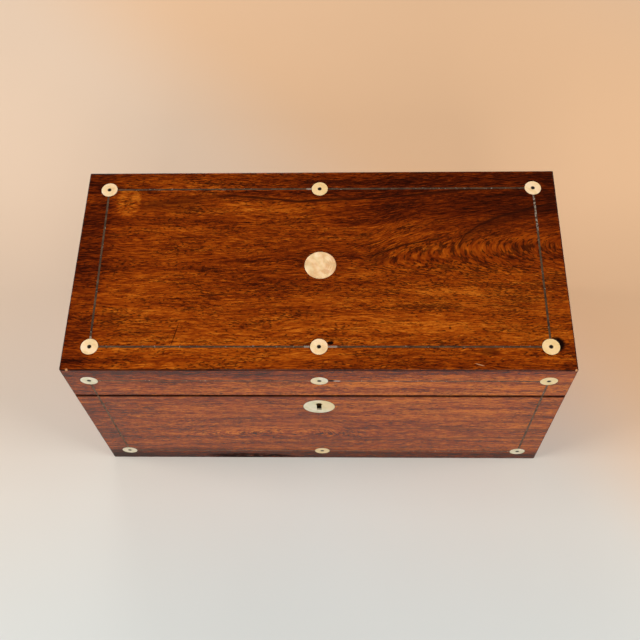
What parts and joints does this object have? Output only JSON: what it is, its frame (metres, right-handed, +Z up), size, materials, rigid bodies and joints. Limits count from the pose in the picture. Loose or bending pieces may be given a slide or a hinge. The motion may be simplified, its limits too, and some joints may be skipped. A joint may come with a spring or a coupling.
{
  "type": "writing slope",
  "caption": "Small rosewood-veneered box that parts along a slope and unfolds into a desk with flaps, pen tray and inkwells.",
  "frame": {"origin": "middle of the underside of the shut box", "axes": "+X to the right along the box's length as seen from the lock face, +Y from the lock face to the hinged back, +Z up"},
  "size_m": [0.3, 0.1446, 0.146],
  "materials": {
    "rosewood": "french polished, glossy",
    "mahogany": "waxed, satin",
    "pewter": "tarnished, with bright rubbed spots",
    "pearl": "polished mother-of-pearl",
    "ebony": "polished",
    "brass": "old lacquered brass, lightly tarnished",
    "steel": "dull",
    "glass": "clear cast glass",
    "leather": "tooled, slightly worn"
  },
  "bodies": {
    "base": {"base_bottom": "mahogany", "base_front_wall": "mahogany", "base_back_wall": "mahogany", "base_left_wall": "mahogany", "base_right_wall": "mahogany", "base_front_veneer": "rosewood", "base_back_veneer": "rosewood", "base_left_veneer": "rosewood", "base_right_veneer": "rosewood", "base_stringing": "pewter", "base_roundels": "pearl", "base_pips": "ebony", "escutcheon": "pearl", "lock_case": "brass", "lock_screws": "brass", "pen_partition": "mahogany", "left_pocket_partition": "mahogany", "right_pocket_partition": "mahogany", "pen_deck": "mahogany", "pen_tray": "mahogany", "tray_cleats": "mahogany", "left_inkwell": "glass", "right_inkwell": "glass", "inkwell_collars": "brass", "base_ledges": "mahogany", "base_flap_pins": "steel", "base_hinge_leaves": "brass", "hinge_pins": "steel", "base_hinge_screws": "brass"},
    "lid": {"lid_hinge_leaves": "brass", "lid_hinge_screws": "brass", "lid_panel": "mahogany", "lid_front_rail": "mahogany", "lid_back_rail": "mahogany", "lid_left_rail": "mahogany", "lid_right_rail": "mahogany", "lid_top_veneer": "rosewood", "lid_front_veneer": "rosewood", "lid_back_veneer": "rosewood", "lid_left_veneer": "rosewood", "lid_right_veneer": "rosewood", "lid_top_stringing": "pewter", "lid_front_stringing": "pewter", "lid_top_roundels": "pearl", "lid_front_roundels": "pearl", "lid_pips": "ebony", "lid_disc": "pearl", "lid_ledges": "mahogany", "lid_flap_pins": "steel", "link_plate": "brass", "link_plate_screws": "brass"},
    "base_flap": {"base_flap": "mahogany", "base_flap_leather": "leather"},
    "lid_flap": {"lid_flap": "mahogany", "lid_flap_leather": "leather"},
    "lock_bolt": {"lock_bolt": "steel"},
    "left_cap": {"left_inkwell_cap": "brass"},
    "right_cap": {"right_inkwell_cap": "brass"}
  },
  "joints": [
    {"name": "lid_hinge", "type": "hinge", "parent": "base", "child": "lid", "pos_m": [0, 0.0712, 0.073], "axis": [-1, 0, 0], "range_deg": [0, 180]},
    {"name": "base_flap_hinge", "type": "hinge", "parent": "base", "child": "base_flap", "pos_m": [0, 0.0573, 0.07301], "axis": [-1, 0, 0], "range_deg": [0, 54]},
    {"name": "lid_flap_hinge", "type": "hinge", "parent": "lid", "child": "lid_flap", "pos_m": [0, 0.0573, 0.08003], "axis": [1, 0, 0], "range_deg": [0, 63]},
    {"name": "lock_bolt_slide", "type": "slide", "parent": "base", "child": "lock_bolt", "axis": [1, 0, 0], "range_m": [0, 0.0045]},
    {"name": "left_cap_turn", "type": "hinge", "parent": "base", "child": "left_cap", "pos_m": [-0.1228, -0.0424, 0.09], "axis": [0, 0, 1], "range_deg": [0, 360]},
    {"name": "right_cap_turn", "type": "hinge", "parent": "base", "child": "right_cap", "pos_m": [0.1228, -0.0424, 0.09], "axis": [0, 0, 1], "range_deg": [0, 360]}
  ],
  "couplings": [
    {"joint": "base_flap_hinge", "follows": "lid_hinge", "ratio": 0.3},
    {"joint": "lid_flap_hinge", "follows": "lid_hinge", "ratio": 0.35}
  ]
}
